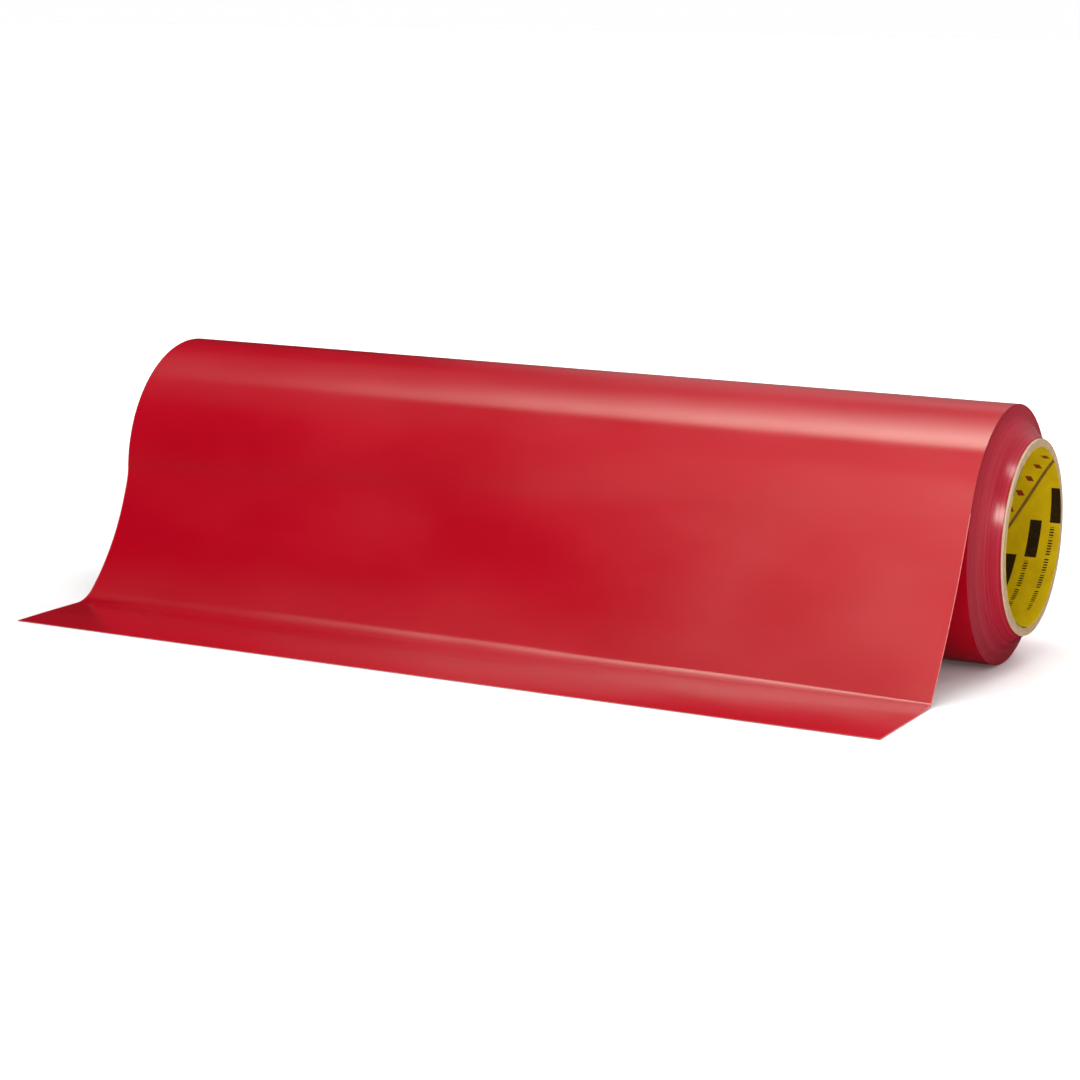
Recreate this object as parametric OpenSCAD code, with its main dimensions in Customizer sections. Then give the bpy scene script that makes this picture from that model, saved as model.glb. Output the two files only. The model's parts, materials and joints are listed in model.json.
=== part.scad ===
// Roll of self-wound coloured vinyl film on a spiral-wound board core,
// with the free end of the film drawn off the roll and laid forward on the bench.
// Millimetres. X runs along the roll, the film comes off on the -Y side, and +Z is up.
// Origin: on the axis of the core's bore, halfway along the film's width.

/* [Film] */
// Width of the film, edge to edge
film_w = 406.4; // [150:0.1:610]
// Outer radius of the wound roll
roll_r = 55.5; // [52:0.5:75]
// Thickness of the bare film
film_t = 0.10; // [0.08:0.01:0.2]
// Thickness of the adhesive coat on the film's inner face
adhesive_t = 0.03; // [0.02:0.01:0.05]

/* [Core] */
// Inside diameter of the core
core_bore_d = 76.2; // [70:0.1:80]
// Thickness of the printed ply that lines the bore
liner_t = 0.2; // [0.15:0.05:0.4]
// Thickness of one kraft body ply
body_ply_t = 0.5; // [0.4:0.05:0.6]
// Number of kraft body plies
body_plies = 6; // [3:1:7]
// Thickness of the smooth outer ply
outer_ply_t = 0.3; // [0.2:0.05:0.4]
// Length of core that shows past the film's first turn at each end
core_proud = 1; // [0.5:0.5:10]

/* [Telescoping] */
// How far the core and the first turn have slid out of the roll, towards +X
telescope = 10; // [0:0.5:15]
// Power of the slide's fall from the core to the last turn; 2 is a smooth dish
telescope_power = 2; // [1.5:0.5:3]

/* [Start tape] */
// Width, around the core, of the tape that holds the first turn
tape_w = 25; // [15:1:40]
// Thickness of that tape and of the first turn beside it
tape_t = 0.13; // [0.1:0.01:0.2]

/* [Free end] */
// Angle above the roll's axis at which the film leaves the roll
leave_deg = 12; // [10:1:20]
// Radius of the outward curve where the film leaves the roll
ease_r = 95; // [60:5:100]
// Angle that this curve turns through
ease_deg = 15; // [10:1:18]
// Radius of the long sweep down towards the bench
sweep_r = 185; // [120:5:190]
// Angle that the sweep turns through
sweep_deg = 13; // [8:1:13]
// Radius of the bend where the film meets the bench
bend_r = 10; // [4:1:14]
// Length of film lying flat on the bench ahead of the bend
foot_len = 48; // [25:1:80]

/* [Hidden] */
$fn = 180;
// Degrees between two points of a curve in the free end
STEP_DEG = 1;
// Straight steps in the outline of a dished end face
DISH_STEPS = 16;
// Air between the free end and the roll that turns behind it
LEAD_GAP = 0.3;
// Air between the foot, which slides forward, and the film behind it
FOOT_GAP = 0.2;
FLAT_DEG = 90;
FULL_DEG = 360;

web_t = film_t + adhesive_t;
pack_r = roll_r - web_t;
bench_z = -roll_r;
bore_r = core_bore_d / 2;
liner_r = bore_r + liner_t;
body_r = liner_r + body_plies * body_ply_t;
core_r = body_r + outer_ply_t;
tape_deg = tape_w / core_r * 180 / PI;

body_ply_names = [for (i = [1 : body_plies]) str("core_body_ply_", i)];

// ---- The free end's line, seen along X, as points [y, z] ----
// It follows the film's face that looks back at the roll and down at the bench.
// A heading of 0 degrees runs straight down and one of 90 runs forward, along -Y.

function ahead(heading) = [-sin(heading), -cos(heading)];
function outward(heading) = [-cos(heading), sin(heading)];

// Where a bend of radius r from p ends, after it has turned forward
function bend_end(p, heading, r, turn) = p + r * (outward(heading) - outward(heading + turn));

// Stations [point, heading] along that bend, both ends included
function bend_line(p, heading, r, turn) =
    let (steps = ceil(turn / STEP_DEG))
    [for (i = [0 : steps]) [bend_end(p, heading, r, turn * i / steps), heading + turn * i / steps]];

leave_point = (roll_r + LEAD_GAP) * [-cos(leave_deg), sin(leave_deg)];
ease_line = bend_line(leave_point, leave_deg, ease_r, ease_deg);
sweep_start = bend_end(leave_point, leave_deg, ease_r, ease_deg);
sweep_heading = leave_deg + ease_deg;
sweep_line = bend_line(sweep_start, sweep_heading, sweep_r, sweep_deg);
sweep_end = bend_end(sweep_start, sweep_heading, sweep_r, sweep_deg);
bend_heading = sweep_heading + sweep_deg;
// The straight run takes up the height that the curves leave over
bend_drop = bend_r * (1 - sin(bend_heading));
straight_run = (sweep_end[1] - bench_z - bend_drop) / cos(bend_heading);
bend_start = sweep_end + straight_run * ahead(bend_heading);
bend_stations = bend_line(bend_start, bend_heading, bend_r, FLAT_DEG - bend_heading);
foot_start = bend_end(bend_start, bend_heading, bend_r, FLAT_DEG - bend_heading);
foot_back = foot_start + FOOT_GAP * ahead(FLAT_DEG);
foot_tip = foot_start + foot_len * ahead(FLAT_DEG);

lead_stations = concat(ease_line, sweep_line, bend_stations);
foot_stations = [[foot_back, FLAT_DEG], [foot_tip, FLAT_DEG]];

// ---- Building blocks ----

// Tube along X between two radii, of a given length, centred on x = middle
module tube(r_in, r_out, length, middle) {
    translate([middle, 0, 0])
        rotate([0, 90, 0])
            difference() {
                cylinder(r = r_out, h = length, center = true);
                cylinder(r = r_in, h = length + 2, center = true);
            }
}

// Ply of the core, over the core's whole length
module core_ply(r_in, thickness) {
    tube(r_in, r_in + thickness, film_w + 2 * core_proud, telescope);
}

// How far the turn at radius r has slid along +X
function slid(r) = telescope * pow((roll_r - r) / (roll_r - core_r), telescope_power);

// Turns of film between two radii, each as wide as the film and slid by its own amount,
// so that the +X end stands out round the core and the -X end is hollow
module telescoped_turns(r_in, r_out) {
    radii = [for (i = [0 : DISH_STEPS]) r_in + (r_out - r_in) * i / DISH_STEPS];
    hollow_end = [for (r = radii) [r, slid(r) - film_w / 2]];
    proud_end = [for (i = [DISH_STEPS : -1 : 0]) [radii[i], slid(radii[i]) + film_w / 2]];
    rotate([0, 90, 0])
        rotate_extrude()
            polygon(concat(hollow_end, proud_end));
}

// Layer of the free end that lies between two depths from its inner face
module free_layer(stations, depth_in, depth_out) {
    inner = [for (s = stations) s[0] + depth_in * outward(s[1])];
    outer = [for (s = stations) s[0] + depth_out * outward(s[1])];
    rotate([90, 0, 90])
        linear_extrude(height = film_w, center = true)
            polygon(concat(inner, [for (i = [len(outer) - 1 : -1 : 0]) outer[i]]));
}

// Layer of one tape thickness around part of the core, over the film's width.
// Its start is counted in degrees from straight down.
module core_wrap(start, turn) {
    translate([telescope - film_w / 2, 0, 0])
        rotate([0, 90, 0])
            rotate([0, 0, start])
                rotate_extrude(angle = turn)
                    translate([core_r, 0])
                        square([tape_t, film_w]);
}

// ---- Core ----

// Printed paper that lines the bore
module core_printed_liner() {
    color("gold")
        core_ply(bore_r, liner_t);
}

// One of the kraft plies that give the core its stiffness, counted from the bore outward
module core_body_ply(i) {
    color("peru")
        core_ply(liner_r + (i - 1) * body_ply_t, body_ply_t);
}

// Smooth ply that the film is wound on
module core_outer_ply() {
    color("wheat")
        core_ply(body_r, outer_ply_t);
}

// ---- Film on the roll ----

// Double-sided tape that holds the film's first edge to the core
module film_start_tape() {
    color("ivory")
        core_wrap(-tape_deg / 2, tape_deg);
}

// First turn of film, which starts and ends at that tape
module film_first_turn() {
    color("crimson")
        core_wrap(tape_deg / 2, FULL_DEG - tape_deg);
}

// All the turns of film between the first and the last
module film_pack() {
    color("crimson")
        telescoped_turns(core_r + tape_t, pack_r);
}

// Adhesive coat under the last turn
module adhesive_outer_turn() {
    color("mistyrose")
        tube(pack_r, pack_r + adhesive_t, film_w, 0);
}

// Last turn of film, the roll's outer skin
module film_outer_turn() {
    color("red")
        tube(pack_r + adhesive_t, roll_r, film_w, 0);
}

// ---- Free end ----

// Adhesive coat of the hanging film and of its bend on the bench
module adhesive_lead() {
    color("mistyrose")
        free_layer(lead_stations, 0, adhesive_t);
}

// Film that hangs from the roll's front down to its bend on the bench
module film_lead() {
    color("red")
        free_layer(lead_stations, adhesive_t, web_t);
}

// Adhesive coat under the flat end
module adhesive_foot() {
    color("mistyrose")
        free_layer(foot_stations, 0, adhesive_t);
}

// Flat end of the film, lying forward on the bench
module film_foot() {
    color("red")
        free_layer(foot_stations, adhesive_t, web_t);
}

core_printed_liner();
for (i = [1 : body_plies]) core_body_ply(i);
core_outer_ply();
film_start_tape();
film_first_turn();
film_pack();
adhesive_outer_turn();
film_outer_turn();
adhesive_lead();
film_lead();
adhesive_foot();
film_foot();
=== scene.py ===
import json
import math
import random

import bpy
from mathutils import Matrix, Vector, noise


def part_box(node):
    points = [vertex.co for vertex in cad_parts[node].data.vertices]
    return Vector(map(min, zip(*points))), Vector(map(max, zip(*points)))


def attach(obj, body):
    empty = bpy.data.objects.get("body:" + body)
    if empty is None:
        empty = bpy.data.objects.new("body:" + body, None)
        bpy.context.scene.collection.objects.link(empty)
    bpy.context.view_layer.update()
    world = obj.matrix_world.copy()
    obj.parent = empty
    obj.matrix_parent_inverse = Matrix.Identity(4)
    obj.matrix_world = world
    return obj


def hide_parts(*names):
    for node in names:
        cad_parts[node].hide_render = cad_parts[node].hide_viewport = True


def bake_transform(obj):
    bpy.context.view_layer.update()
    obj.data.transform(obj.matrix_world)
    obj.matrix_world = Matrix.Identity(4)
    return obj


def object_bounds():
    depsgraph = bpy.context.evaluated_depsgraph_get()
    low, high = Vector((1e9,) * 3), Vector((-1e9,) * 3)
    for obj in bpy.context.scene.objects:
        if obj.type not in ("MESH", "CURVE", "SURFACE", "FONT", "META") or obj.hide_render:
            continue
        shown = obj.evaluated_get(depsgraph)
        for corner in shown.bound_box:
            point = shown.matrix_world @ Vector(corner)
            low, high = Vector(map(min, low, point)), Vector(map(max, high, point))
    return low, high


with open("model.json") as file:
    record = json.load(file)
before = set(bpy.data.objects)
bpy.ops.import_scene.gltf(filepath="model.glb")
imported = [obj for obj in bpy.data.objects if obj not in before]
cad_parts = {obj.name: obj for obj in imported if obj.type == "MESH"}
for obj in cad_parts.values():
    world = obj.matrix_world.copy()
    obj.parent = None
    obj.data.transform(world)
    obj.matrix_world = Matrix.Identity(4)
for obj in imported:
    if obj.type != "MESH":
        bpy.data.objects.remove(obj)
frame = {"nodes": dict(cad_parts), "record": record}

CAD_LO, CAD_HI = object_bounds()
MM = 0.001
FULL_TURN = 2 * math.pi

# ---- Sizes worked out from the frame ----
BENCH_Z = CAD_LO.z
ROLL_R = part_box("film_outer_turn")[1].z
HALF_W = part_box("film_outer_turn")[1].x
WEB_T = ROLL_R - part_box("film_pack")[1].z
CORE_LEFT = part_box("core_outer_ply")[0].x
CORE_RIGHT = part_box("core_outer_ply")[1].x
CORE_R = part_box("core_outer_ply")[1].z
FIRST_TURN_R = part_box("film_first_turn")[1].z
FIRST_TURN_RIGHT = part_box("film_first_turn")[1].x
LINER_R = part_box("core_printed_liner")[1].z
BORE_R = frame["record"]["mounts"][0]["dims"]["r_mm"] * MM
SLIDE = FIRST_TURN_RIGHT - HALF_W

# ---- Camera, with its angles in degrees and its lens and sensor in millimetres ----
CAMERA_AIM = Vector((-0.0170, 0.0, -0.0238))
CAMERA_DISTANCE = 1.378
CAMERA_YAW = 26.13
CAMERA_PITCH = 10.61
CAMERA_ROLL = 0.98
CAMERA_LENS = 101.0
CAMERA_CLIP = (0.05, 200.0)
SENSOR = 36.0

# ---- Film sheet ----
# How much deeper than the last turn the web's start lies
LAP_AIR = 0.02 * MM
LAP_STEP = WEB_T + LAP_AIR
# How far round that start is tucked under the last turn, in degrees
LAP_OVERLAP_DEG = 6.0
LAP_STEPS = 260
SHEET_COLUMNS = 96
# The free end's line at the film's two edges. It leaves the roll, has eased into its sweep and
# lands at these angles from straight down, in degrees. The radii are those of the curve off the
# roll, of the bend on the bench and of the last curve into the flat.
LEFT_EDGE = {
    "leave": 2.0,
    "eased": 18.0,
    "landing": 48.0,
    "ease_r": 30 * MM,
    "bend_r": 17 * MM,
    "settle_r": 17 * MM,
    "reach": 143.0 * MM,
}
RIGHT_EDGE = {
    "leave": 18.0,
    "eased": 23.0,
    "landing": 36.0,
    "ease_r": 40 * MM,
    "bend_r": 3.5 * MM,
    "settle_r": 100 * MM,
    "reach": 151.5 * MM,
}
# Angle from straight down at which the bend gives way to the last curve, in degrees
SETTLING = 82.0
# How much wider the bend is halfway along the film
MIDDLE_SOFTER = 5 * MM
EASE_STEPS, SWEEP_STEPS, BEND_STEPS, SETTLE_STEPS, FOOT_STEPS = 12, 48, 14, 8, 24
# Station along the line at which the foot starts
LANDED = LAP_STEPS + EASE_STEPS + SWEEP_STEPS + BEND_STEPS + SETTLE_STEPS
# Width of the band along each slit edge that carries the painted highlight
EDGE_HIGHLIGHT_WIDTH = 0.30 * MM
# Height of the film's unevenness where it hangs, where it is wound and where it lies
FREE_WAVE = 0.8 * MM
ROLL_WAVE = 0.025 * MM
FOOT_LIFT = 0.25 * MM
FOOT_LIFT_MEAN, FOOT_LIFT_SPREAD = 0.55, 0.4
# Stations over which the unevenness comes in and dies away
FREE_BLEND, FOOT_BLEND = 20, 8
# Its lengths across and along the film, for the long waves and for the short ones
LONG_WAVE = (0.12, 0.05)
SHORT_WAVE = (0.055, 0.024)
SHORT_WAVE_SHARE = 0.4
SHORT_WAVE_SHIFT = 9
HANGING_SEED, FOOT_SEED = 3.0, 5.0
# The sheet's materials, in the order that make_film_sheet takes them; the cut edges' one is a painted
# highlight
FILM_FACE, CUT_EDGE_HIGHLIGHT, WOUND_EDGE = 0, 1, 2

# ---- Wound turns ----
ROLL_SEED = 11
ROLL_SEGMENTS = 300
# Air between the first turn and the turns over it, and between those and the last turn
INNER_AIR, OUTER_AIR = 0.02 * MM, 0.03 * MM
# How the turns' edges wander from one turn to the next, and how much of it each turn keeps
WANDER = 0.010 * MM
WANDER_KEPT = 0.8
STRAY = 0.006 * MM
# Unevenness round the roll: noise per millimetre of radius and round the turn, and its height
SLOW_RING = {"per_mm": 0.55, "round": 1.6, "height": 0.03 * MM}
QUICK_RING = {"per_mm": 3.1, "round": 2.5, "height": 0.012 * MM}
# Shift that makes the two differ
QUICK_RING_SHIFT = 7
# Depth in millimetres over which it fades at the first and last turns
RING_FADE = 0.4

# ---- Core ----
PLY_SEGMENTS = 360
PLY_SEED = 20
# How much shorter one ply may be sawn than another
SAW_SPREAD = 0.10 * MM
# Share of a ply's thickness that a soft corner takes up. The corner starts this share of its
# size inside the cut, and its middle is these shares inside the cut and along the thickness.
SOFT_SHARE = 0.18
CORNER_START = 0.8
CORNER_MIDDLE = (0.2, 0.35)
# The cut's fuzz: how coarse and fine noise vary with the ply, with the point of its outline and
# round it, and the mean and both shares of the height
COARSE_FUZZ = {"per_ply": 3.7, "per_point": 0.4, "round": 9}
FINE_FUZZ = {"per_ply": 5.1, "per_point": 0.9, "round": 60}
FUZZ_MEAN, COARSE_SHARE, FINE_SHARE = 0.5, 0.5, 0.35
FUZZ_HEIGHT = 0.06 * MM
# The liner's seam: its angle from the roll's ends, its gap and its place at the right-hand rim
SEAM_DEG = 31.5
SEAM_GAP = 1.3 * MM
SEAM_AT_RIM = 34.0 * MM
# Height and length of the ragged cut along the seam
RAG_HEIGHT, RAG_LENGTH = 0.06 * MM, 4 * MM
# Air between the liner and the ply behind it
LINER_AIR = 0.01 * MM
LINER_STATIONS = 150
LINER_STEPS = 180
# Millimetres of paper in one unit of the liner's UV map
STRIP_SPAN = 100.0

# ---- Liner print, in millimetres of paper: plain bars, dashes and diamonds ----
ROW_DEPTH = 9.7
ROW_SHIFT = 15.8
COLUMN = FULL_TURN * BORE_R / MM / 3
COLUMN_START = 60.0
BAR_WIDTH, BAR_LENGTH = 5.2, 16.4
# Slope of a bar's long sides
BAR_TILT = 0.063
BAR_FIRST = (1.65, 8.15)
DASH_LINE_LENGTH, DASH_LINE_WIDTH, DASH_GAP = 42.0, 1.9, 1.8
DASH_LINE_OFFSET = 1.2
# How many dashes and how many groups of dashes there are in a millimetre, and the share of each
# that is blank, with its soft edge
DASHES_PER_MM, GROUPS_PER_MM = 0.83, 0.127
DASH_BLANK, GROUP_BLANK = (0.42, 0.5), (0.12, 0.14)
DIAMOND_PITCH, DIAMOND_FROM_SEAM = 9.27, 4.0
DIAMOND_LONG, DIAMOND_SHORT = 2.3, 1.65
DIAMOND_START = -1.1
# How far from the row of diamonds the dashes stay
CLEAR_OF_DIAMONDS = 9.0
INK_EDGE = 0.05


# ---- Colours ----

def rgb(r, g, b):
    return (r, g, b, 1.0)


FILM_DEEP, FILM_BRIGHT = rgb(0.435, 0.0008, 0.011), rgb(0.475, 0.0015, 0.014)
# The cut edges' two reds are a painted highlight: paler than the film, for the light that gathers in the
# edge.
EDGE_HIGHLIGHT_DEEP, EDGE_HIGHLIGHT_PALE = rgb(0.62, 0.12, 0.12), rgb(0.72, 0.20, 0.18)
WOUND_DEEP, WOUND_BRIGHT = rgb(0.275, 0.004, 0.017), rgb(0.365, 0.011, 0.028)
WOUND_BAND = rgb(0.44, 0.035, 0.05)
# Each board's two tones. The dark face is the one that shows through the liner's seam; its darkness is
# painted shade of the narrow gap.
KRAFT_PALE = rgb(0.50, 0.35, 0.21), rgb(0.42, 0.29, 0.17)
KRAFT_BROWN = rgb(0.44, 0.30, 0.17), rgb(0.35, 0.23, 0.13)
KRAFT_SEAM_SHADE = rgb(0.22, 0.10, 0.014), rgb(0.16, 0.070, 0.009)
OUTER_BOARD = rgb(0.56, 0.42, 0.27), rgb(0.47, 0.34, 0.21)
FLECK = rgb(0.20, 0.12, 0.06)
TAPE_DULL, TAPE_CLEAR = rgb(0.80, 0.77, 0.70), rgb(0.88, 0.86, 0.80)
PAPER_DEEP, PAPER_PALE = rgb(0.58, 0.39, 0.001), rgb(0.68, 0.48, 0.002)
PAPER_GRAIN = rgb(0.42, 0.27, 0.003)
INK_BLACK, INK_RED = rgb(0.022, 0.010, 0.003), rgb(0.22, 0.025, 0.008)
# Tints that warm the film's and the turns' reflections
FILM_SHEEN, WOUND_SHEEN = rgb(1.0, 0.97, 0.80), rgb(1.0, 0.95, 0.88)
FLOOR_DULL, FLOOR_WHITE = rgb(0.93, 0.93, 0.93), rgb(0.95, 0.95, 0.95)
WALL_DULL, WALL_WHITE = rgb(0.98, 0.98, 0.98), rgb(1, 1, 1)
BLACK = rgb(0, 0, 0)

# ---- Stage ----
# Half the floor's side, which is also the backdrop's radius and height
STAGE_SIZE = 14.0
FLOOR_STEPS = 28
FLOOR_AIR = 0.1 * MM
# The floor's own glow, which rises with the distance from the roll's middle
FLOOR_GLOW = {"low": 0.15, "high": 0.9, "start": 0.04, "end": 0.3}
BACKDROP_SIDES = 48

# ---- Studio, by direction ----
# x, y and z are those of a direction. "back" and "side" are how far behind and to the right of
# straight up it points, as a share of its height. A ramp is (from, to) or (from, to, start, end).
LEAST_HEIGHT = 0.05
DARK = 0.02
OVERHEAD_FOOT = (0.06, 0.2)
STRIP_EDGE = -0.045
STRIP_EDGE_SOFT = 0.02
STRIP_PEAK = 0.12
STRIP_FADE = 0.27
STRIP_GLOW = 12.0
STRIP_LEFT = (-0.64, -0.22)
STRIP_WEAKER = (-0.26, -0.1, 1.0, 0.2)
STRIP_RIGHT = (0.6, 1.0, 1.0, 0.0)
PANEL_GLOW = 0.35
PANEL_LEFT = (-0.86, -0.62)
PANEL_BACK = (2.0, 4.0, 1.0, 0.0)
PANEL_FRONT = (-0.9, -0.3, 0.0, PANEL_GLOW)
FRONT_GLOW = 4.0
FRONT_AHEAD = (-0.1, -0.25)
FRONT_LEFT = (-0.475, -0.19)
FRONT_RIGHT = (-0.05, 0.25, 1.0, 0.0)
FRONT_TOP = (0.72, 0.86, 1.0, 0.5)
FRONT_FOOT = (-0.1, 0.1)
WALL_GLOW = 0.4
WALL_BEHIND = (0.3, 0.6)
WALL_TOP = (0.45, 0.7, 1.0, 0.0)
WALL_FOOT = (-0.30, -0.05)
WALL_LOW = (0.12, 0.34, 0.65, 1.0)
WALL_RIGHT = (0.0, 0.3, 1.0, 0.25)
WALL_LEFT = (-0.49, -0.39)

# ---- Lights ----
# Each has a name, a place, the point that it is aimed at, its size and its watts
LIGHTS = (
    ("key_right", (0.55, -0.75, 0.5), (0.1, -0.05, 0), (0.5, 0.5), 2.2),
    ("side_low", (0.95, -0.45, 0.1), (0.2, 0.0, 0), (0.5, 0.4), 2.1),
    ("fill_top", (0.2, 0.2, 1.6), (0, 0, 0), (1.4, 1.0), 1.2),
    ("rim_back", (0.3, 1.3, 1.1), (0, 0, 0), (1.2, 0.6), 15.0),
)
# Each has a name, its direction from the point that both are aimed at, its size and its watts
GLINTS = (
    ("glint_high", (0.58, 0.10, 0.81), (0.22, 0.22), 2.0),
    ("glint_low", (0.81, -0.46, 0.36), (0.26, 0.26), 4.6),
)
GLINT_DISTANCE = 1.2
GLINT_AIM = Vector((FIRST_TURN_RIGHT, -0.5 * CORE_R, 0.6 * CORE_R))


def make_camera():
    yaw, pitch, roll = (math.radians(a) for a in (CAMERA_YAW, CAMERA_PITCH, CAMERA_ROLL))
    level = Vector((math.cos(yaw), math.sin(yaw), 0))
    view = Vector((-math.sin(yaw) * math.cos(pitch), math.cos(yaw) * math.cos(pitch), -math.sin(pitch)))
    upright = level.cross(view)
    right = level * math.cos(roll) + upright * math.sin(roll)
    up = upright * math.cos(roll) - level * math.sin(roll)
    data = bpy.data.cameras.new("camera")
    data.lens = CAMERA_LENS
    data.sensor_width = SENSOR
    data.clip_start, data.clip_end = CAMERA_CLIP
    camera = bpy.data.objects.new("camera", data)
    bpy.context.scene.collection.objects.link(camera)
    turn = Matrix((right, up, -view)).transposed().to_4x4()
    camera.matrix_world = Matrix.Translation(CAMERA_AIM - view * CAMERA_DISTANCE) @ turn
    bpy.context.scene.camera = camera


# ---- Node trees ----

class Tree:
    """Short ways to add nodes to a material's or the world's tree."""

    def __init__(self, tree):
        self.nodes, self.links = tree.nodes, tree.links
        self.nodes.clear()

    def set(self, socket, value):
        if isinstance(value, bpy.types.NodeSocket):
            self.links.new(value, socket)
        else:
            socket.default_value = value

    def node(self, kind, out=0, into=(), **settings):
        n = self.nodes.new(kind)
        for key, value in settings.items():
            setattr(n, key, value)
        for name, value in dict(into).items():
            self.set(n.inputs[name], value)
        return n.outputs[out]

    def split(self, vector):
        """The three parts of a vector."""
        self.node("ShaderNodeSeparateXYZ", "X", {"Vector": vector})
        return list(self.nodes[-1].outputs)

    def math(self, operation, *values):
        n = self.nodes.new("ShaderNodeMath")
        n.operation = operation
        for socket, value in zip(n.inputs, values):
            self.set(socket, value)
        return n.outputs[0]

    def product(self, first, *others):
        for other in others:
            first = self.math("MULTIPLY", first, other)
        return first

    def step(self, value, low, high, start=0.0, end=1.0):
        """A smooth change from start to end as value goes from low to high."""
        n = self.nodes.new("ShaderNodeMapRange")
        n.interpolation_type = "SMOOTHSTEP"
        names = ("Value", "From Min", "From Max", "To Min", "To Max")
        for name, v in zip(names, (value, low, high, start, end)):
            self.set(n.inputs[name], v)
        return n.outputs[0]

    def noise(self, where, scale, detail=3.0, rough=0.5):
        into = {"Vector": where, "Scale": scale, "Detail": detail, "Roughness": rough}
        return self.node("ShaderNodeTexNoise", 0, into)

    def stretch(self, where, scale):
        return self.node("ShaderNodeMapping", 0, {"Vector": where, "Scale": scale})

    def mix(self, share, a, b):
        n = self.nodes.new("ShaderNodeMix")
        n.data_type = "RGBA"
        self.set(n.inputs[0], share)
        self.set(n.inputs[6], a)
        self.set(n.inputs[7], b)
        return n.outputs[2]

    def bump(self, height, strength, distance, normal=None):
        into = {"Height": height, "Strength": strength, "Distance": distance}
        if normal is not None:
            into["Normal"] = normal
        return self.node("ShaderNodeBump", 0, into)


def new_material(name):
    m = bpy.data.materials.new(name)
    m.use_nodes = True
    return m, Tree(m.node_tree)


def finish_material(t, **inputs):
    bsdf = t.nodes.new("ShaderNodeBsdfPrincipled")
    for name, value in inputs.items():
        t.set(bsdf.inputs[name.replace("_", " ")], value)
    out = t.nodes.new("ShaderNodeOutputMaterial")
    t.links.new(bsdf.outputs[0], out.inputs[0])


def object_place(t):
    return t.node("ShaderNodeTexCoord", "Object")


# ---- Film materials ----

def film_material():
    """Glossy calendered vinyl: an even red, cloudy in its gloss, with faint lines along the web."""
    m, t = new_material("film_vinyl")
    where = object_place(t)
    drawn = t.stretch(where, (0.45, 1.0, 1.0))
    cloud = t.noise(drawn, scale=18.0, detail=3.0, rough=0.55)
    soft = t.noise(drawn, scale=45.0, detail=3.0, rough=0.6)
    fine = t.noise(where, scale=900.0, detail=2.0)
    along = t.noise(t.stretch(where, (260.0, 6.0, 6.0)), scale=1.0, detail=2.0)
    colour = t.mix(t.step(cloud, 0.3, 0.7), FILM_DEEP, FILM_BRIGHT)
    gloss = t.math("ADD", t.step(cloud, 0.25, 0.75, start=0.13, end=0.21), t.math("MULTIPLY", along, 0.03))
    cloudy = t.step(cloud, 0.3, 0.7, start=0.20, end=0.26)
    mottled = t.step(soft, 0.3, 0.7, start=0.22, end=0.31)
    lines = t.bump(along, strength=0.12, distance=0.004 * MM)
    finish_material(
        t,
        Base_Color=colour,
        Roughness=gloss,
        IOR=1.5,
        Specular_IOR_Level=t.math("ADD", cloudy, mottled),
        Specular_Tint=FILM_SHEEN,
        Normal=t.bump(fine, strength=0.12, distance=0.004 * MM, normal=lines),
    )
    return m


def cut_edge_highlight_material():
    """The film's cut edge, painted a paler red as a highlight for the light that gathers there."""
    m, t = new_material("film_cut_edge_highlight")
    nick = t.noise(object_place(t), scale=700.0, detail=2.0)
    finish_material(t, Base_Color=t.mix(nick, EDGE_HIGHLIGHT_DEEP, EDGE_HIGHLIGHT_PALE), Roughness=0.5, IOR=1.5)
    return m


def ring_noise_nodes(t, radius, y, z, per_radius, per_place, detail, rough):
    """Noise in rings about X: quick across the turns and slow round them."""
    place = {
        "X": t.math("MULTIPLY", radius, per_radius),
        "Y": t.math("MULTIPLY", y, per_place),
        "Z": t.math("MULTIPLY", z, per_place),
    }
    return t.noise(t.node("ShaderNodeCombineXYZ", 0, place), scale=1.0, detail=detail, rough=rough)


def wound_material():
    """Edges of the wound turns: fine rings, glossier towards the core where they are fanned out."""
    m, t = new_material("film_wound_edges")
    _, y, z = t.split(object_place(t))
    radius = t.math("SQRT", t.math("ADD", t.math("MULTIPLY", y, y), t.math("MULTIPLY", z, z)))
    ring = ring_noise_nodes(t, radius, y, z, per_radius=2600.0, per_place=12.0, detail=3.0, rough=0.6)
    band = ring_noise_nodes(t, radius, y, z, per_radius=1300.0, per_place=9.0, detail=2.0, rough=0.5)
    out = t.step(radius, CORE_R, ROLL_R)
    colour = t.mix(t.step(ring, 0.3, 0.7), WOUND_DEEP, WOUND_BRIGHT)
    colour = t.mix(t.step(band, 0.45, 0.8, start=0.0, end=0.35), colour, WOUND_BAND)
    gloss = t.math("ADD", t.step(out, 0.1, 0.6, start=0.17, end=0.5), t.math("MULTIPLY", ring, 0.08))
    finish_material(
        t,
        Base_Color=colour,
        Roughness=gloss,
        IOR=1.5,
        Specular_IOR_Level=0.38,
        Specular_Tint=WOUND_SHEEN,
        Normal=t.bump(ring, strength=0.35, distance=0.04 * MM),
    )
    return m


def tape_material():
    """Hazy double-sided tape."""
    m, t = new_material("start_tape_film")
    haze = t.noise(object_place(t), scale=300.0, detail=2.0)
    colour = t.mix(haze, TAPE_DULL, TAPE_CLEAR)
    finish_material(t, Base_Color=colour, Roughness=0.45, Normal=t.bump(haze, 0.2, 0.02 * MM))
    return m


# ---- Core materials ----

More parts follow.
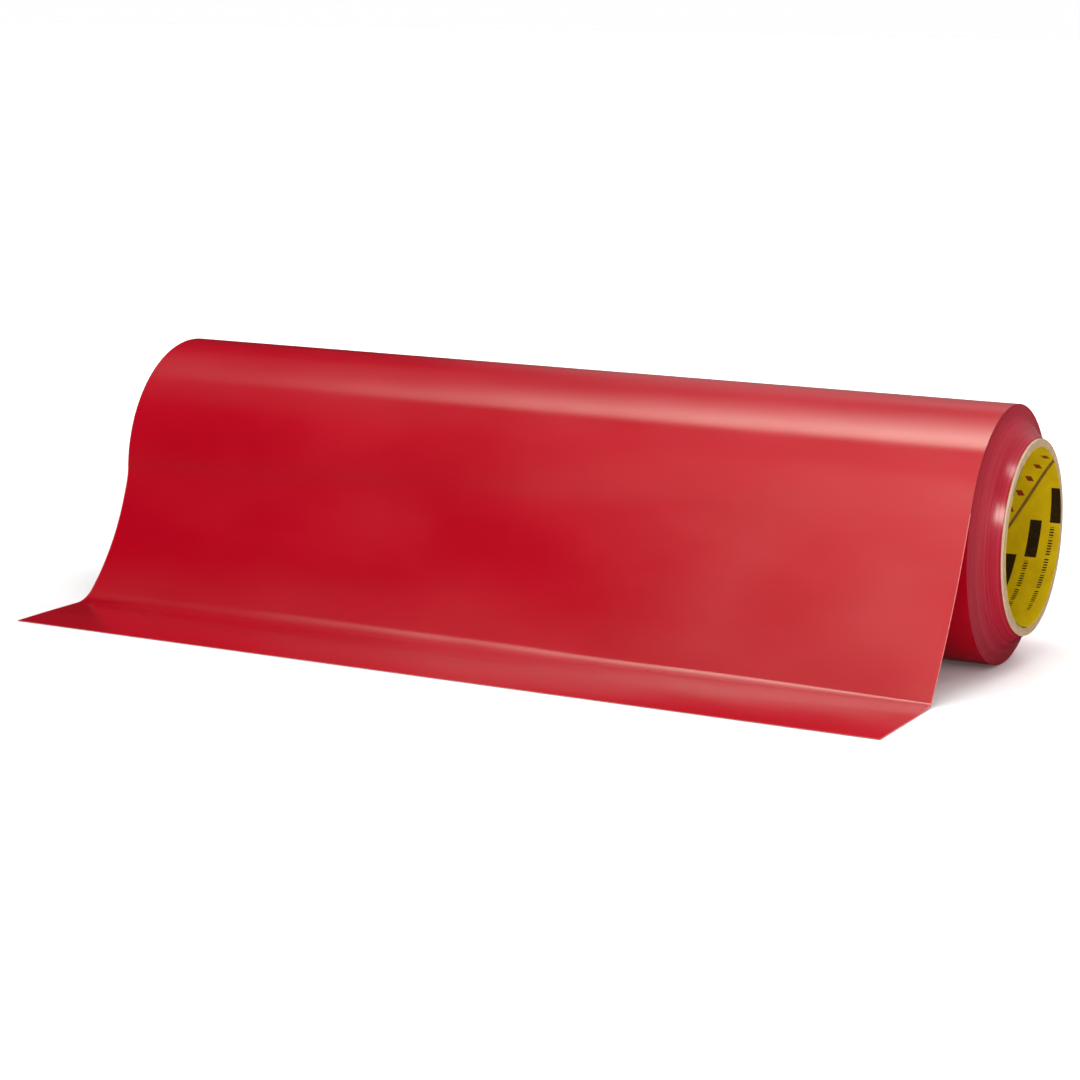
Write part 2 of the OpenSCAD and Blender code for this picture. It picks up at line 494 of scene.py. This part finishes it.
def kraft_material(name, light, dark):
    """Board plies at a saw cut: fibres, flecks and slight fuzz."""
    m, t = new_material(name)
    where = object_place(t)
    fibre = t.noise(t.stretch(where, (900.0, 300.0, 300.0)), scale=1.0, detail=4.0, rough=0.65)
    fleck = t.noise(where, scale=1500.0, detail=2.0)
    tone = t.mix(t.step(fibre, 0.3, 0.7), light, dark)
    tone = t.mix(t.step(fleck, 0.62, 0.75, start=0.0, end=0.35), tone, FLECK)
    fuzz = t.bump(fibre, strength=0.6, distance=0.05 * MM)
    finish_material(t, Base_Color=tone, Roughness=0.82, IOR=1.45, Normal=fuzz)
    return m


def inside(t, value, half):
    """1 where value is within half of zero, with an edge as soft as ink on paper."""
    return t.step(t.math("ABSOLUTE", value), half - INK_EDGE, half + INK_EDGE, start=1.0, end=0.0)


def seam_places(t, depth, around):
    """How far a point is along the row of diamonds beside the seam, and how far off that row."""
    sin, cos = math.sin(math.radians(SEAM_DEG)), math.cos(math.radians(SEAM_DEG))
    off = t.math("ADD", t.math("MULTIPLY", depth, cos), t.math("MULTIPLY", around, sin))
    off = t.math("SUBTRACT", off, SEAM_AT_RIM / MM * sin + DIAMOND_FROM_SEAM)
    along = t.math("SUBTRACT", t.math("MULTIPLY", depth, sin), t.math("MULTIPLY", around, cos))
    return along, off


def bars_and_dashes(t, depth, around, off_seam):
    """Ink of the bars, in rows round the bore, and of the dashed line beside each bar."""
    from_first = t.math("SUBTRACT", depth, BAR_FIRST[0])
    row = t.math("ROUND", t.math("DIVIDE", from_first, ROW_DEPTH))
    across = t.math("SUBTRACT", from_first, t.math("MULTIPLY", row, ROW_DEPTH))
    along = t.math("SUBTRACT", around, BAR_FIRST[1])
    along = t.math("ADD", along, t.math("MULTIPLY", row, ROW_SHIFT))
    along = t.math("FLOORED_MODULO", t.math("ADD", along, COLUMN_START), COLUMN)
    along = t.math("SUBTRACT", along, COLUMN_START)
    tilted = t.math("ADD", across, t.math("MULTIPLY", along, BAR_TILT))
    bar = t.product(inside(t, tilted, BAR_WIDTH / 2), inside(t, along, BAR_LENGTH / 2))

    line_middle = -BAR_LENGTH / 2 - DASH_GAP - DASH_LINE_LENGTH / 2
    tick = t.math("FRACT", t.math("MULTIPLY", along, DASHES_PER_MM))
    group = t.math("FRACT", t.math("MULTIPLY", along, GROUPS_PER_MM))
    line = t.product(
        inside(t, t.math("ADD", along, -line_middle), DASH_LINE_LENGTH / 2),
        inside(t, t.math("ADD", tilted, -DASH_LINE_OFFSET), DASH_LINE_WIDTH / 2),
        t.step(tick, *DASH_BLANK),
        t.step(group, *GROUP_BLANK),
        t.math("SUBTRACT", 1.0, inside(t, off_seam, CLEAR_OF_DIAMONDS)),
    )
    return t.math("MAXIMUM", bar, line)


def diamonds(t, along_seam, off_seam):
    """Ink of the row of small diamonds beside the seam."""
    along = t.math("ADD", along_seam, DIAMOND_PITCH / 2 - DIAMOND_START)
    along = t.math("SUBTRACT", t.math("FLOORED_MODULO", along, DIAMOND_PITCH), DIAMOND_PITCH / 2)
    short = t.math("DIVIDE", t.math("ABSOLUTE", along), DIAMOND_SHORT)
    long = t.math("DIVIDE", t.math("ABSOLUTE", off_seam), DIAMOND_LONG)
    return t.step(t.math("ADD", short, long), 0.95, 1.05, start=1.0, end=0.0)


def liner_material():
    """Yellow paper with plain marks printed on it, slightly worn."""
    m, t = new_material("liner_print")
    strip = t.split(t.node("ShaderNodeUVMap", 0, uv_map="strip"))
    depth, around = (t.math("MULTIPLY", part, STRIP_SPAN) for part in strip[:2])
    along_seam, off_seam = seam_places(t, depth, around)
    where = object_place(t)
    mottle = t.noise(where, scale=120.0, detail=4.0, rough=0.6)
    grain = t.noise(t.stretch(where, (1800.0, 600.0, 600.0)), scale=1.0, detail=3.0)
    worn = t.step(t.noise(where, scale=900.0, detail=2.0), 0.3, 0.5, start=0.97, end=1.0)
    colour = t.mix(t.step(mottle, 0.3, 0.7), PAPER_DEEP, PAPER_PALE)
    colour = t.mix(t.step(grain, 0.55, 0.8, start=0.0, end=0.25), colour, PAPER_GRAIN)
    colour = t.mix(t.product(bars_and_dashes(t, depth, around, off_seam), worn), colour, INK_BLACK)
    colour = t.mix(t.product(diamonds(t, along_seam, off_seam), worn), colour, INK_RED)
    finish_material(
        t,
        Base_Color=colour,
        Roughness=t.step(grain, 0.2, 0.8, start=0.38, end=0.55),
        IOR=1.45,
        Specular_IOR_Level=0.22,
        Normal=t.bump(grain, strength=0.25, distance=0.02 * MM),
    )
    return m


# ---- Meshes ----

def new_object(name, vertices, faces, materials, sharp_deg=60.0):
    mesh = bpy.data.meshes.new(name)
    mesh.from_pydata(vertices, [], faces)
    mesh.validate()
    for m in materials:
        mesh.materials.append(m)
    mesh.shade_smooth()
    mesh.set_sharp_from_angle(angle=math.radians(sharp_deg))
    o = bpy.data.objects.new(name, mesh)
    bpy.context.scene.collection.objects.link(o)
    return o


# ---- Film sheet ----
# Its line is seen along X, as stations (place, heading) with the place as (y, z). A heading of 0
# runs straight down and one of a quarter turn runs forward, along -Y.

def outward(heading):
    return Vector((-math.cos(heading), math.sin(heading)))


def curve(start, heading, radius, turn, steps):
    """Stations along an arc that turns forward, without its first one."""
    stations = []
    for i in range(1, steps + 1):
        reached = heading + turn * i / steps
        stations.append((start + radius * (outward(heading) - outward(reached)), reached))
    return stations


def wound_line(leave):
    """Stations of the last turn's outer face, from its tucked start round to where it leaves."""
    first = leave + math.radians(LAP_OVERLAP_DEG)
    stations = []
    for i in range(LAP_STEPS + 1):
        h = first + (leave - FULL_TURN - first) * i / LAP_STEPS
        stations.append(((ROLL_R - LAP_STEP * (h - leave + FULL_TURN) / FULL_TURN) * outward(h), h))
    return stations


def film_line(share):
    """Stations of the film's outer face, from its tucked start round the roll and out to its tip.
    share goes from 0 at the film's left edge to 1 at its right edge."""
    v = {k: LEFT_EDGE[k] + (RIGHT_EDGE[k] - LEFT_EDGE[k]) * share for k in LEFT_EDGE}
    v["bend_r"] += MIDDLE_SOFTER * 4 * share * (1 - share)
    leave, eased, landing = (math.radians(v[k]) for k in ("leave", "eased", "landing"))
    settling = math.radians(SETTLING)
    stations = wound_line(leave)
    stations += curve(stations[-1][0], leave, v["ease_r"], eased - leave, EASE_STEPS)
    # The sweep takes up the height that the bend and the last curve leave over
    foot_z = BENCH_Z + WEB_T
    drop = stations[-1][0][1] - foot_z
    drop -= v["bend_r"] * (math.sin(settling) - math.sin(landing))
    drop -= v["settle_r"] * (1 - math.sin(settling))
    sweep_r = drop / (math.sin(landing) - math.sin(eased))
    stations += curve(stations[-1][0], eased, sweep_r, landing - eased, SWEEP_STEPS)
    stations += curve(stations[-1][0], landing, v["bend_r"], settling - landing, BEND_STEPS)
    stations += curve(stations[-1][0], settling, v["settle_r"], math.pi / 2 - settling, SETTLE_STEPS)
    y = stations[-1][0][0]
    for i in range(1, FOOT_STEPS + 1):
        stations.append((Vector((y + (-v["reach"] - y) * i / FOOT_STEPS, foot_z)), math.pi / 2))
    return stations


def wave(x, along, seed):
    """Unevenness of the film, from about -1 to 1."""
    long = noise.noise(Vector((x / LONG_WAVE[0], along / LONG_WAVE[1], seed)))
    short = noise.noise(Vector((x / SHORT_WAVE[0], along / SHORT_WAVE[1], seed + SHORT_WAVE_SHIFT)))
    return long + SHORT_WAVE_SHARE * short


def lift_off_line(i, x, along):
    """How far station i stands off the plain line: most where the film hangs, a little on the roll
    and always upward on the bench."""
    free = min(max((i - LAP_STEPS) / FREE_BLEND, 0), 1) * min(max((LANDED - i) / FREE_BLEND, 0), 1)
    lift = FREE_WAVE * free * wave(x, along, HANGING_SEED)
    if i < LAP_STEPS:
        lift += ROLL_WAVE * min(i, LAP_STEPS - i) / LAP_STEPS * wave(x, along, HANGING_SEED)
    if i > LANDED:
        height = FOOT_LIFT_MEAN + FOOT_LIFT_SPREAD * wave(x, along, FOOT_SEED)
        lift += FOOT_LIFT * height * min((i - LANDED) / FOOT_BLEND, 1)
    return lift


def sheet_points(shares):
    """The web's outer points, its inner ones, column by column, and its mean length."""
    outer_face, inner_face = [], []
    length = 0.0
    for share in shares:
        x = -HALF_W + 2 * HALF_W * share
        line = film_line(share)
        along = 0.0
        for i, (place, heading) in enumerate(line):
            if i:
                along += (place - line[i - 1][0]).length
            normal = outward(heading)
            outer = place + lift_off_line(i, x, along) * normal
            inner = outer - WEB_T * normal
            outer_face.append((x, outer[0], outer[1]))
            inner_face.append((x, inner[0], inner[1]))
        length += along / len(shares)
    return outer_face, inner_face, length


def sheet_faces(columns, rows):
    """Faces of the closed web over those points, and each face's material."""

    def out(c, i):
        return c * rows + i

    def inn(c, i):
        return (columns + 1) * rows + c * rows + i

    faces, looks = [], []
    for c in range(columns):
        beside_edge = c in (0, columns - 1)
        for i in range(rows - 1):
            faces.append((out(c, i), out(c, i + 1), out(c + 1, i + 1), out(c + 1, i)))
            faces.append((inn(c, i), inn(c + 1, i), inn(c + 1, i + 1), inn(c, i + 1)))
            looks += [CUT_EDGE_HIGHLIGHT if beside_edge and i >= LAP_STEPS else FILM_FACE, FILM_FACE]
    for i in range(rows - 1):
        faces.append((out(0, i), inn(0, i), inn(0, i + 1), out(0, i + 1)))
        faces.append((out(columns, i), out(columns, i + 1), inn(columns, i + 1), inn(columns, i)))
        looks += [CUT_EDGE_HIGHLIGHT if i >= LAP_STEPS else WOUND_EDGE] * 2
    for c in range(columns):
        faces.append((out(c, 0), out(c + 1, 0), inn(c + 1, 0), inn(c, 0)))
        faces.append((out(c, rows - 1), inn(c, rows - 1), inn(c + 1, rows - 1), out(c + 1, rows - 1)))
        looks += [WOUND_EDGE, CUT_EDGE_HIGHLIGHT]
    return faces, looks


def make_film_sheet(film, edge, wound):
    """The last turn and the free end, as one thin closed web."""
    slit = EDGE_HIGHLIGHT_WIDTH / (2 * HALF_W)
    shares = [0.0, slit] + [c / SHEET_COLUMNS for c in range(1, SHEET_COLUMNS)] + [1.0 - slit, 1.0]
    outer_face, inner_face, length = sheet_points(shares)
    faces, looks = sheet_faces(len(shares) - 1, LANDED + FOOT_STEPS + 1)
    o = new_object("film_sheet", outer_face + inner_face, faces, [film, edge, wound], sharp_deg=50.0)
    o.data.polygons.foreach_set("material_index", looks)
    return o, length


# ---- Wound turns and core plies ----

def lathe(name, loop, segments, nudge, materials, sharp_deg):
    """A closed ring about X from a closed loop of (x, radius). nudge(k, angle) moves point k along X."""
    vertices, faces = [], []
    n = len(loop)
    for s in range(segments):
        angle = FULL_TURN * s / segments
        for k, (x, r) in enumerate(loop):
            vertices.append((x + nudge(k, angle), r * math.cos(angle), r * math.sin(angle)))
    for s in range(segments):
        t = (s + 1) % segments
        for k in range(n):
            j = (k + 1) % n
            faces.append((s * n + k, s * n + j, t * n + j, t * n + k))
    return new_object(name, vertices, faces, materials, sharp_deg)


def round_noise(place, scale, angle, shift=0.0):
    """Noise that runs round a ring without a seam."""
    return noise.noise(Vector((place, scale * math.cos(angle) + shift, scale * math.sin(angle))))


def slid(r):
    """How far the turn at radius r has slid along X."""
    return SLIDE * ((ROLL_R - r) / (ROLL_R - CORE_R)) ** 2


def turn_steps(turns):
    """How far each turn's edge stands off the smooth dish, from the first turn to the last."""
    rng = random.Random(ROLL_SEED)
    drift, steps = 0.0, []
    for _ in range(turns):
        drift = drift * WANDER_KEPT + rng.uniform(-WANDER, WANDER)
        steps.append(drift + rng.uniform(-STRAY, STRAY))
    steps[0] = steps[-1] = 0.0
    return steps


def make_film_roll(wound):
    """The turns under the last one, with an edge for each turn at both ends."""
    r_in = FIRST_TURN_R + INNER_AIR
    r_out = ROLL_R - LAP_STEP - WEB_T - OUTER_AIR
    turns = int((r_out - r_in) / WEB_T)
    radii = [r_in + (r_out - r_in) * i / turns for i in range(turns + 1)]
    steps = turn_steps(len(radii))
    loop = [(slid(r) + HALF_W, r) for r in radii] + [(slid(r) - HALF_W, r) for r in reversed(radii)]
    amounts = steps + list(reversed(steps))

    def nudge(k, angle):
        r = loop[k][1] / MM
        slow = round_noise(r * SLOW_RING["per_mm"], SLOW_RING["round"], angle)
        quick = round_noise(r * QUICK_RING["per_mm"], QUICK_RING["round"], angle, QUICK_RING_SHIFT)
        fade = min((r_out / MM - r) / RING_FADE, (r - r_in / MM) / RING_FADE, 1)
        return amounts[k] + fade * (SLOW_RING["height"] * slow + QUICK_RING["height"] * quick)

    return lathe("film_roll", loop, ROLL_SEGMENTS, nudge, [wound], sharp_deg=70.0)


def sawn_end(x, inward, r_in, r_out):
    """Outline of a ply's end, from the bore outward. inward is the direction into the ply, along X."""
    soft = SOFT_SHARE * (r_out - r_in)
    start = x + inward * soft * CORNER_START
    middle = x + inward * soft * CORNER_MIDDLE[0]
    shoulder = soft * CORNER_MIDDLE[1]
    return [
        (start, r_in),
        (middle, r_in + shoulder),
        (x, r_in + soft),
        (x, (r_in + r_out) / 2),
        (x, r_out - soft),
        (middle, r_out - shoulder),
        (start, r_out),
    ]


def fuzz_noise(fuzz, seed, k, angle):
    return round_noise(seed * fuzz["per_ply"] + k * fuzz["per_point"], fuzz["round"], angle)


def make_ply(name, r_in, r_out, materials, seed):
    """One ply of the core, sawn at both ends, with soft corners. A second material faces the bore."""
    cut = random.Random(seed).uniform(0.0, SAW_SPREAD)
    right_end = sawn_end(CORE_RIGHT - cut, -1, r_in, r_out)
    left_end = sawn_end(CORE_LEFT + cut, 1, r_in, r_out)
    loop = right_end + list(reversed(left_end))

    def nudge(k, angle):
        inward = -1 if k < len(right_end) else 1
        fuzz = FUZZ_MEAN + COARSE_SHARE * fuzz_noise(COARSE_FUZZ, seed, k, angle)
        fuzz += FINE_SHARE * fuzz_noise(FINE_FUZZ, seed, k, angle)
        return inward * fuzz * FUZZ_HEIGHT

    ply = lathe(name, loop, PLY_SEGMENTS, nudge, materials, sharp_deg=75.0)
    for i in range(len(loop) - 1, len(ply.data.polygons), len(loop)):
        ply.data.polygons[i].material_index = len(materials) - 1
    return ply


# ---- Liner ----

def liner_points():
    """Points of the strip, inner and outer by turns, and their places on the flat paper."""
    open_angle = SEAM_GAP / math.sin(math.radians(SEAM_DEG)) / BORE_R
    slope = 1 / math.tan(math.radians(SEAM_DEG)) / BORE_R
    points, places = [], []
    for i in range(LINER_STATIONS + 1):
        x = CORE_RIGHT + (CORE_LEFT - CORE_RIGHT) * i / LINER_STATIONS
        depth = CORE_RIGHT - x
        seam = SEAM_AT_RIM / BORE_R - slope * depth
        ragged = RAG_HEIGHT * noise.noise(Vector((depth / RAG_LENGTH, 2.0, 0.0))) / BORE_R
        for j in range(LINER_STEPS + 1):
            angle = seam + open_angle / 2 + ragged + (FULL_TURN - open_angle) * j / LINER_STEPS
            for r in (BORE_R, LINER_R - LINER_AIR):
                points.append((x, r * math.cos(angle), r * math.sin(angle)))
                places.append((depth / MM / STRIP_SPAN, angle * BORE_R / MM / STRIP_SPAN))
    return points, places


def liner_faces():
    """Faces of the closed strip: both sides, its two edges along the seam and its two ends."""

    def at(i, j, side):
        return (i * (LINER_STEPS + 1) + j) * 2 + side

    faces = []
    for i in range(LINER_STATIONS):
        for j in range(LINER_STEPS):
            faces.append((at(i, j, 0), at(i + 1, j, 0), at(i + 1, j + 1, 0), at(i, j + 1, 0)))
            faces.append((at(i, j, 1), at(i, j + 1, 1), at(i + 1, j + 1, 1), at(i + 1, j, 1)))
        for j in (0, LINER_STEPS):
            quad = (at(i, j, 0), at(i, j, 1), at(i + 1, j, 1), at(i + 1, j, 0))
            faces.append(quad if j == 0 else tuple(reversed(quad)))
    for i in (0, LINER_STATIONS):
        for j in range(LINER_STEPS):
            quad = (at(i, j, 0), at(i, j + 1, 0), at(i, j + 1, 1), at(i, j, 1))
            faces.append(quad if i == 0 else tuple(reversed(quad)))
    return faces


def make_liner(material):
    """The printed ply that lines the bore: one paper strip wound in a spiral, its edges a little apart."""
    points, places = liner_points()
    o = new_object("core_liner", points, liner_faces(), [material], sharp_deg=50.0)
    layer = o.data.uv_layers.new(name="strip")
    for loop in o.data.loops:
        layer.data[loop.index].uv = places[loop.vertex_index]
    return o


# ---- Stage ----

def floor_material():
    m, t = new_material("stage_white")
    place = object_place(t)
    colour = t.mix(t.noise(place, scale=3.0), FLOOR_DULL, FLOOR_WHITE)
    away = t.node("ShaderNodeVectorMath", "Value", {"Vector": place}, operation="LENGTH")
    glow = t.step(away, **FLOOR_GLOW)
    finish_material(
        t,
        Base_Color=colour,
        Roughness=0.9,
        Specular_IOR_Level=0.0,
        Emission_Color=colour,
        Emission_Strength=glow,
    )
    return m


def backdrop_material():
    m, t = new_material("stage_backdrop")
    glow = t.mix(t.noise(object_place(t), scale=0.05), WALL_DULL, WALL_WHITE)
    finish_material(t, Base_Color=BLACK, Roughness=1.0, Emission_Color=glow, Emission_Strength=1.0)
    return m


def make_floor():
    """Pale floor, in squares, a hair below the film. Reflections don't show it."""
    side = FLOOR_STEPS + 1
    spots = [(i / FLOOR_STEPS - 0.5) * 2 * STAGE_SIZE for i in range(side)]
    vertices = [(x, y, BENCH_Z - FLOOR_AIR) for x in spots for y in spots]
    faces = []
    for i in range(FLOOR_STEPS):
        for j in range(FLOOR_STEPS):
            a = i * side + j
            faces.append((a, a + side, a + side + 1, a + 1))
    floor = new_object("floor", vertices, faces, [floor_material()])
    floor.visible_glossy = False
    return floor


def make_backdrop():
    """White wall all round, which only the camera sees."""
    vertices, faces = [], []
    count = 2 * BACKDROP_SIDES
    for i in range(BACKDROP_SIDES):
        angle = FULL_TURN * i / BACKDROP_SIDES
        for z in (BENCH_Z, STAGE_SIZE):
            vertices.append((STAGE_SIZE * math.cos(angle), STAGE_SIZE * math.sin(angle), z))
        faces.append((2 * i, 2 * i + 1, (2 * i + 3) % count, (2 * i + 2) % count))
    wall = new_object("backdrop", vertices, faces, [backdrop_material()])
    wall.visible_glossy = wall.visible_diffuse = wall.visible_shadow = False
    return wall


# ---- Light ----

def overhead_glow(t, back, side, z):
    """A strip light overhead, brightest a little to the left, that fades backwards, and a broad
    weak panel round it."""
    past_peak = t.math("MAXIMUM", t.math("SUBTRACT", back, STRIP_PEAK), 0.0)
    strip = t.product(
        t.step(back, STRIP_EDGE - STRIP_EDGE_SOFT, STRIP_EDGE + STRIP_EDGE_SOFT),
        t.math("EXPONENT", t.math("DIVIDE", past_peak, -STRIP_FADE)),
        t.step(side, *STRIP_LEFT),
        t.step(side, *STRIP_WEAKER),
        t.step(side, *STRIP_RIGHT),
        STRIP_GLOW,
    )
    panel = t.product(t.step(side, *PANEL_LEFT), t.step(back, *PANEL_BACK), t.step(back, *PANEL_FRONT))
    return t.product(t.math("ADD", strip, panel), t.step(z, *OVERHEAD_FOOT))


def front_glow(t, x, y, z):
    """A broad soft box in front, which fades to the left. The hanging film mirrors it."""
    return t.product(
        t.step(y, *FRONT_AHEAD),
        t.step(x, *FRONT_LEFT),
        t.step(x, *FRONT_RIGHT),
        t.step(z, *FRONT_TOP),
        t.step(z, *FRONT_FOOT),
        FRONT_GLOW,
    )


def wall_glow(t, x, y, z):
    """A dim wall behind the roll, weaker to the right and dark at the far left."""
    return t.product(
        t.step(y, *WALL_BEHIND),
        t.step(z, *WALL_TOP),
        t.step(z, *WALL_FOOT),
        t.step(z, *WALL_LOW),
        t.step(x, *WALL_RIGHT),
        t.step(x, *WALL_LEFT),
        WALL_GLOW,
    )


def make_world():
    """A dark studio with those glows in it, which the film mirrors."""
    world = bpy.data.worlds.new("studio")
    world.use_nodes = True
    bpy.context.scene.world = world
    t = Tree(world.node_tree)
    x, y, z = t.split(t.node("ShaderNodeTexCoord", "Generated"))
    height = t.math("MAXIMUM", z, LEAST_HEIGHT)
    back = t.math("DIVIDE", y, height)
    side = t.math("DIVIDE", x, height)
    before = t.math("ADD", overhead_glow(t, back, side, z), front_glow(t, x, y, z))
    behind = t.math("ADD", wall_glow(t, x, y, z), DARK)
    background = t.nodes.new("ShaderNodeBackground")
    t.set(background.inputs["Strength"], t.math("ADD", before, behind))
    out = t.nodes.new("ShaderNodeOutputWorld")
    t.links.new(background.outputs[0], out.inputs[0])


def area_light(name, place, target, size, watts, mirrored=False):
    """A light that the camera doesn't see. A mirrored one shows only in reflections, and any other
    lights things without showing in them."""
    data = bpy.data.lights.new(name, "AREA")
    data.shape = "RECTANGLE"
    data.size, data.size_y = size
    data.energy = watts
    o = bpy.data.objects.new(name, data)
    bpy.context.scene.collection.objects.link(o)
    o.location = place
    o.rotation_mode = "QUATERNION"
    o.rotation_quaternion = (Vector(place) - Vector(target)).to_track_quat("Z", "Y")
    o.visible_camera = False
    o.visible_glossy = mirrored
    o.visible_diffuse = not mirrored


def make_lights():
    for name, place, target, size, watts in LIGHTS:
        area_light(name, place, target, size, watts)
    for name, direction, size, watts in GLINTS:
        place = GLINT_AIM + GLINT_DISTANCE * Vector(direction)
        area_light(name, place, GLINT_AIM, size, watts, mirrored=True)


# ---- The pieces, on their bodies ----

def add_film(wound):
    sheet, length = make_film_sheet(film_material(), cut_edge_highlight_material(), wound)
    roll = make_film_roll(wound)
    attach(roll, "roll")
    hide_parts("film_pack", "film_outer_turn", "adhesive_outer_turn")

    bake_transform(sheet)
    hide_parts("film_lead", "adhesive_lead", "film_foot", "adhesive_foot")


def add_plies():
    pale, brown = kraft_material("kraft_pale", *KRAFT_PALE), kraft_material("kraft_brown", *KRAFT_BROWN)
    seam_shade = kraft_material("kraft_seam_shade_face", *KRAFT_SEAM_SHADE)
    smooth = kraft_material("outer_board", *OUTER_BOARD)
    inner = LINER_R
    plies = sorted(n for n in frame["nodes"] if n.startswith("core_body_ply_"))
    for i, node in enumerate(plies + ["core_outer_ply"]):
        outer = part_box(node)[1].z
        last = node == "core_outer_ply"
        material = smooth if last else (pale, brown)[i % 2]
        # The first ply's face towards the bore shows only in the liner's seam gap, and its dark kraft
        # there is painted shade.
        materials = [material] if i else [material, seam_shade]
        ply = make_ply(node.replace("core_", "board_"), inner, outer, materials, PLY_SEED + i)
        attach(ply, "roll")
        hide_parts(node)
        inner = outer


def add_liner():
    liner = make_liner(liner_material())
    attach(liner, "roll")
    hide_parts("core_printed_liner")


def repaint(node, material):
    """Gives a CAD node that stays visible its real material."""
    mesh = frame["nodes"][node].data
    mesh.materials.clear()
    mesh.materials.append(material)


def main():
    make_camera()
    wound = wound_material()
    add_film(wound)
    add_plies()
    add_liner()
    repaint("film_first_turn", wound)
    repaint("film_start_tape", tape_material())
    floor, wall = make_floor(), make_backdrop()
    make_world()
    make_lights()
    bpy.context.scene.view_settings.view_transform = "Standard"


main()
